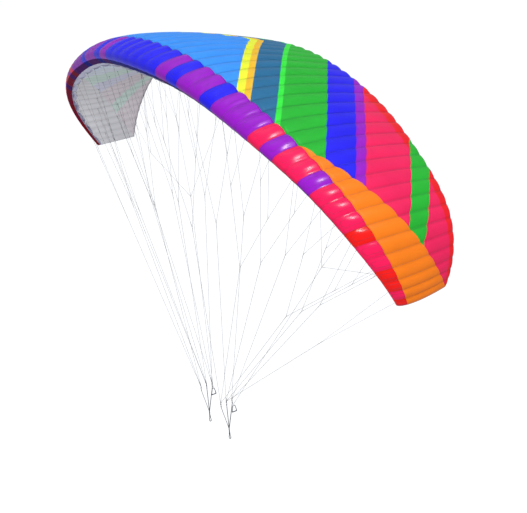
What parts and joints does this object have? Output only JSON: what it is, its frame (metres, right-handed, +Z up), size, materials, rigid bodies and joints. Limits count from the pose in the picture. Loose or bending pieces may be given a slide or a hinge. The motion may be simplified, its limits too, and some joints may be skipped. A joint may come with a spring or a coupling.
{
  "type": "paraglider wing",
  "caption": "Inflated ram-air paraglider wing with a row of intake mouths under its nose, line cascades, and two risers with small steel links and brake handles.",
  "frame": {"origin": "midway between the two riser loops that the harness hangs from, level with the inner bottom of the loops", "axes": "+Z up toward the canopy, the span lies along X, the nose faces -Y"},
  "size_m": [9.272, 2.6655, 6.6307],
  "materials": {
    "upper_sail": "coated ripstop nylon, satin, sewn from panels in many colours",
    "nose_cloth": "coated ripstop nylon, satin, one colour a cell",
    "lower_sail": "pale grey ripstop nylon, satin",
    "rib_cloth": "white hard-finished ripstop nylon",
    "line": "braided sheathed cord, matt",
    "webbing": "woven polyester webbing, matt",
    "steel": "stainless, smooth",
    "handle": "stiffened webbing, matt"
  },
  "bodies": {
    "root": {"upper_sail_front": "upper_sail", "upper_sail_rear": "upper_sail", "lower_sail_rear": "lower_sail", "nose_panels_left_tip": "nose_cloth", "lower_sail_left_tip": "lower_sail", "nose_panels_left": "nose_cloth", "lower_sail_left": "lower_sail", "nose_panels_centre": "nose_cloth", "lower_sail_centre": "lower_sail", "nose_panels_right": "nose_cloth", "lower_sail_right": "lower_sail", "nose_panels_right_tip": "nose_cloth", "lower_sail_right_tip": "lower_sail", "rib_centre": "rib_cloth", "rib_left_02": "rib_cloth", "rib_left_04": "rib_cloth", "rib_left_06": "rib_cloth", "rib_left_08": "rib_cloth", "rib_left_10": "rib_cloth", "rib_left_12": "rib_cloth", "rib_left_14": "rib_cloth", "rib_left_16": "rib_cloth", "rib_left_18": "rib_cloth", "rib_left_20": "rib_cloth", "rib_left_22": "rib_cloth", "rib_left_24": "rib_cloth", "rib_left_26": "rib_cloth", "rib_right_02": "rib_cloth", "rib_right_04": "rib_cloth", "rib_right_06": "rib_cloth", "rib_right_08": "rib_cloth", "rib_right_10": "rib_cloth", "rib_right_12": "rib_cloth", "rib_right_14": "rib_cloth", "rib_right_16": "rib_cloth", "rib_right_18": "rib_cloth", "rib_right_20": "rib_cloth", "rib_right_22": "rib_cloth", "rib_right_24": "rib_cloth", "rib_right_26": "rib_cloth", "lines_a_left": "line", "lines_b_left": "line", "lines_c_left": "line", "lines_brake_left": "line", "maillon_a_left": "steel", "maillon_b_left": "steel", "maillon_c_left": "steel", "riser_left": "webbing", "riser_legs_left": "webbing", "brake_handle_left": "handle", "lines_a_right": "line", "lines_b_right": "line", "lines_c_right": "line", "lines_brake_right": "line", "maillon_a_right": "steel", "maillon_b_right": "steel", "maillon_c_right": "steel", "riser_right": "webbing", "riser_legs_right": "webbing", "brake_handle_right": "handle"}
  },
  "joints": []
}
